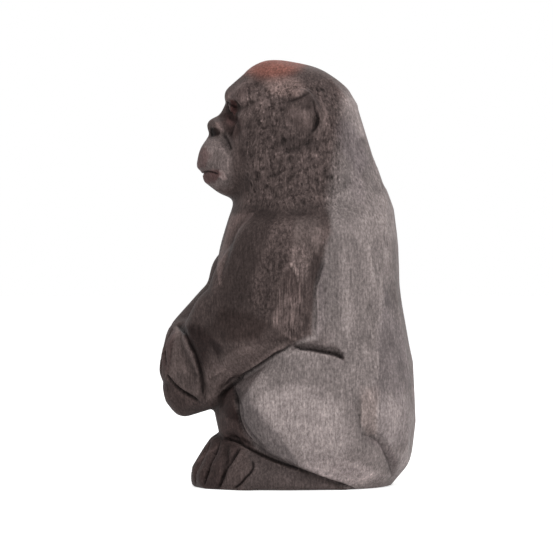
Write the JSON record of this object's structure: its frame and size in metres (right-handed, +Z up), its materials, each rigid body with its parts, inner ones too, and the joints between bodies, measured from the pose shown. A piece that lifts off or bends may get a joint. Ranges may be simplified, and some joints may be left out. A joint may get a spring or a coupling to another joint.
{
  "type": "gorilla figurine",
  "caption": "Seated gorilla carved from one block of wood in knife facets, arms crossed over its belly, on a flat base.",
  "frame": {"origin": "centre of the bounding box's bottom face, on the surface that the figurine stands on", "axes": "+Z up, the figurine faces -Y, its left side is +X"},
  "size_m": [0.0748, 0.091, 0.1503],
  "materials": {
    "stained_wood": "satin"
  },
  "bodies": {
    "root": {"gorilla": "stained_wood"}
  },
  "joints": []
}
